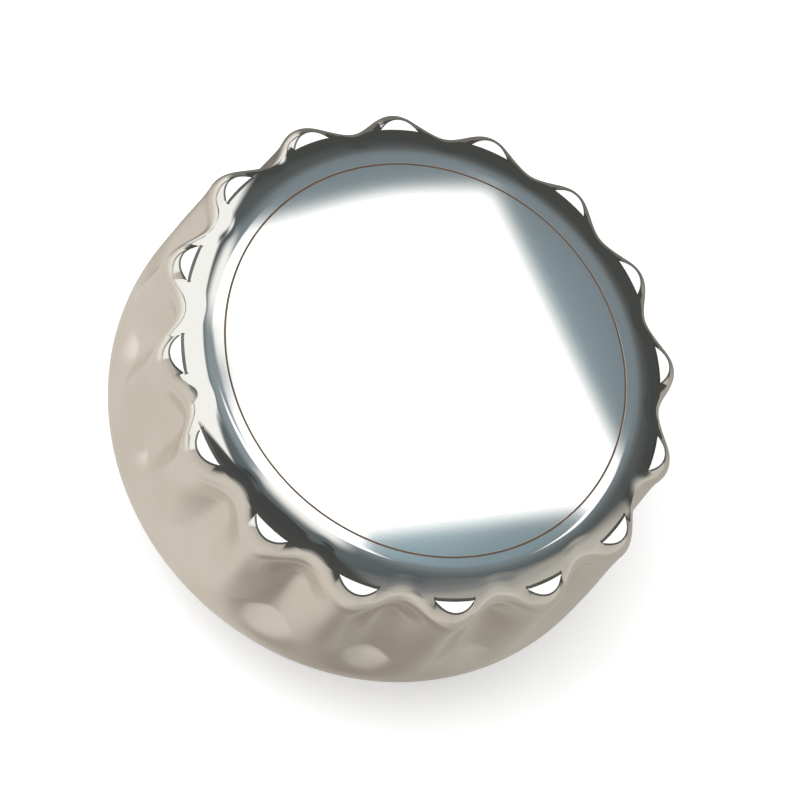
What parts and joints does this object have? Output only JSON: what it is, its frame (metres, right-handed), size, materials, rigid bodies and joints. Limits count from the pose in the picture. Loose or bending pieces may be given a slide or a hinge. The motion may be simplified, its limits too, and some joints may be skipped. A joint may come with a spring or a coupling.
{
  "type": "fuel cap",
  "caption": "Round polished metal fuel cap with a fluted grip edge, over a black screw-in plug with a neck gasket and a sprung vent valve.",
  "frame": {"origin": "centre of the plug's lower end, on which the cap stands", "axes": "+Z along the cap's axis up to the polished face, +X through the crest of a lobe"},
  "size_m": [0.0758, 0.0758, 0.041],
  "materials": {
    "polished_alloy": "mirror polished face, satin polished flutes",
    "black_acetal": "moulded, faint sheen",
    "nitrile_rubber": "matt",
    "screw_steel": "bright zinc",
    "red_fibre": "pressed fibre",
    "sintered_bronze": "sintered, open grain",
    "valve_brass": "turned",
    "spring_steel": "drawn wire"
  },
  "bodies": {
    "cap": {"cap_shell": "polished_alloy", "thread_insert": "black_acetal", "neck_gasket": "nitrile_rubber", "insert_screws": "screw_steel", "screw_washers": "red_fibre", "vent_filter": "sintered_bronze", "valve_seat": "valve_brass", "valve_spring": "spring_steel", "valve_retainer": "black_acetal"},
    "poppet": {"valve_poppet": "valve_brass", "poppet_seal": "nitrile_rubber"}
  },
  "joints": [
    {"name": "vent_slide", "type": "slide", "parent": "cap", "child": "poppet", "axis": [0, 0, -1], "range_m": [0, 0.0015], "stiffness_N_per_m": 60, "springref_m": -0.003, "deforming": ["valve_spring"]}
  ]
}
